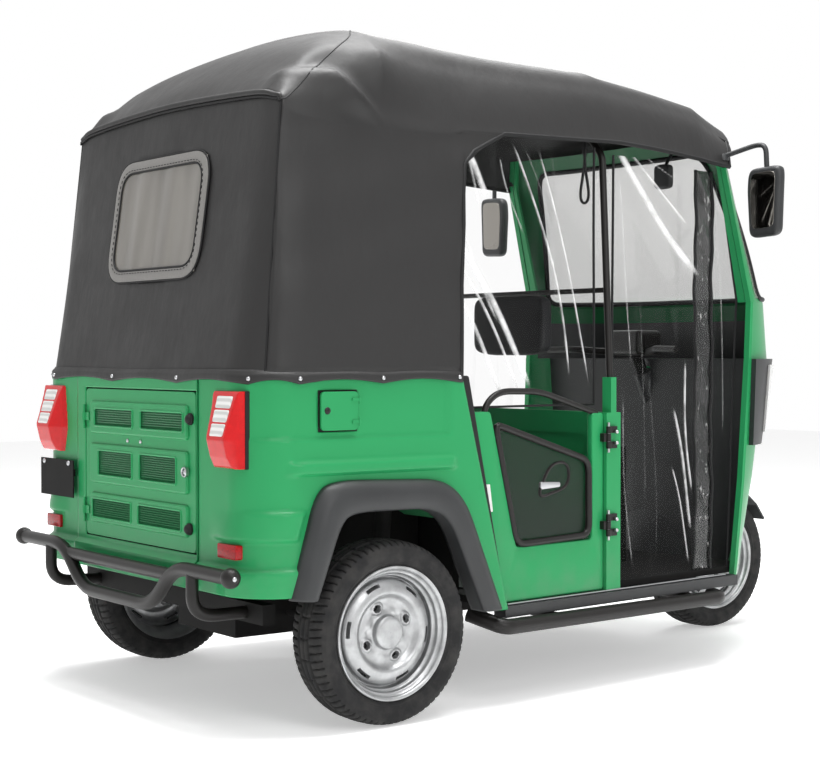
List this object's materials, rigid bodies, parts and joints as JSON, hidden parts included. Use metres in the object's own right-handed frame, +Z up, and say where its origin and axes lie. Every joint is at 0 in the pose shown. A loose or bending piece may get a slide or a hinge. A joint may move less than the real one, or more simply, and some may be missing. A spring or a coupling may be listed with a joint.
{
  "type": "auto rickshaw",
  "caption": "Electric auto rickshaw with a fabric canopy over a painted tub, half doors, a louvred rear hatch, a steered front wheel and clear curtains on the right side.",
  "frame": {"origin": "on the ground under the middle of the bounding box", "axes": "+X forward, +Y to the driver's left, +Z up"},
  "size_m": [2.7139, 1.522, 1.9718],
  "materials": {
    "body_paint": "gloss",
    "black_plastic": "satin",
    "black_metal": "satin",
    "vinyl": "matte",
    "steel": "satin",
    "tyre": "matte",
    "rubber": "matte",
    "glass": "clear",
    "clear_sheet": "clear",
    "red_lens": "gloss",
    "clear_lens": "clear",
    "seat": "satin",
    "aluminium": "cast"
  },
  "bodies": {
    "body": {"arch_flares": "black_plastic", "b_posts": "body_paint", "battery_pack": "black_metal", "bench_base": "seat", "bench_seat": "seat", "canopy_frame": "black_metal", "canopy_rear": "vinyl", "canopy_roof": "vinyl", "canopy_sides": "vinyl", "chassis_cross": "black_metal", "chassis_rails": "black_metal", "cowl": "body_paint", "curtains": "clear_sheet", "dashboard": "black_plastic", "door_seals": "rubber", "drive_unit": "aluminium", "driver_seat": "seat", "floor_mat": "rubber", "floor_pan": "rubber", "headlamp_housings": "black_plastic", "headlamp_lenses": "clear_lens", "inner_arches": "black_plastic", "mirrors": "black_plastic", "number_plate": "black_plastic", "partition": "body_paint", "post_hinges": "black_metal", "quarter_panels": "body_paint", "rear_bumper": "black_metal", "rear_panel": "body_paint", "rear_suspension": "black_metal", "rear_window": "clear_sheet", "reflectors": "red_lens", "screen_frame": "body_paint", "screen_seal": "rubber", "seat_box": "seat", "side_steps": "black_metal", "sills": "black_plastic", "tail_lamps": "red_lens", "windscreen": "glass"},
    "wheel_rear_right": {"tyre_rear_right": "tyre", "rim_rear_right": "steel"},
    "wheel_rear_left": {"tyre_rear_left": "tyre", "rim_rear_left": "steel"},
    "steering": {"fork": "black_metal", "handlebar": "black_metal", "front_guard": "black_plastic"},
    "wheel_front": {"tyre_front": "tyre", "rim_front": "steel"},
    "door_right": {"door_right": "body_paint", "door_rail_right": "black_metal", "door_pane_right": "clear_sheet"},
    "door_left": {"door_left": "body_paint", "door_rail_left": "black_metal", "door_pane_left": "clear_sheet"},
    "rear_hatch": {"hatch": "body_paint", "hatch_grilles": "black_plastic"},
    "charge_flap": {"charge_flap": "body_paint"}
  },
  "joints": [
    {"name": "wheel_rear_right_spin", "type": "hinge", "parent": "body", "child": "wheel_rear_right", "pos_m": [-0.847, -0.625, 0.254], "axis": [0, 1, 0], "continuous": true},
    {"name": "wheel_rear_left_spin", "type": "hinge", "parent": "body", "child": "wheel_rear_left", "pos_m": [-0.847, 0.625, 0.254], "axis": [0, 1, 0], "continuous": true},
    {"name": "steering_turn", "type": "hinge", "parent": "body", "child": "steering", "pos_m": [1.103, 0, 0.254], "axis": [-0.4226, 0, 0.9063], "range_deg": [-40, 40]},
    {"name": "wheel_front_spin", "type": "hinge", "parent": "steering", "child": "wheel_front", "pos_m": [1.103, 0, 0.254], "axis": [0, 1, 0], "continuous": true},
    {"name": "door_right_swing", "type": "hinge", "parent": "body", "child": "door_right", "pos_m": [0.02941, -0.61104, 0.625], "axis": [0, 0, 1], "range_deg": [0, 85]},
    {"name": "door_left_swing", "type": "hinge", "parent": "body", "child": "door_left", "pos_m": [0.02941, 0.61104, 0.625], "axis": [0, 0, -1], "range_deg": [0, 85]},
    {"name": "rear_hatch_swing", "type": "hinge", "parent": "body", "child": "rear_hatch", "pos_m": [-1.282, 0.31, 0.69], "axis": [0, 0, -1], "range_deg": [0, 110]},
    {"name": "charge_flap_swing", "type": "hinge", "parent": "body", "child": "charge_flap", "pos_m": [-0.944, -0.666, 0.864], "axis": [0, 0, 1], "range_deg": [0, 110]}
  ]
}
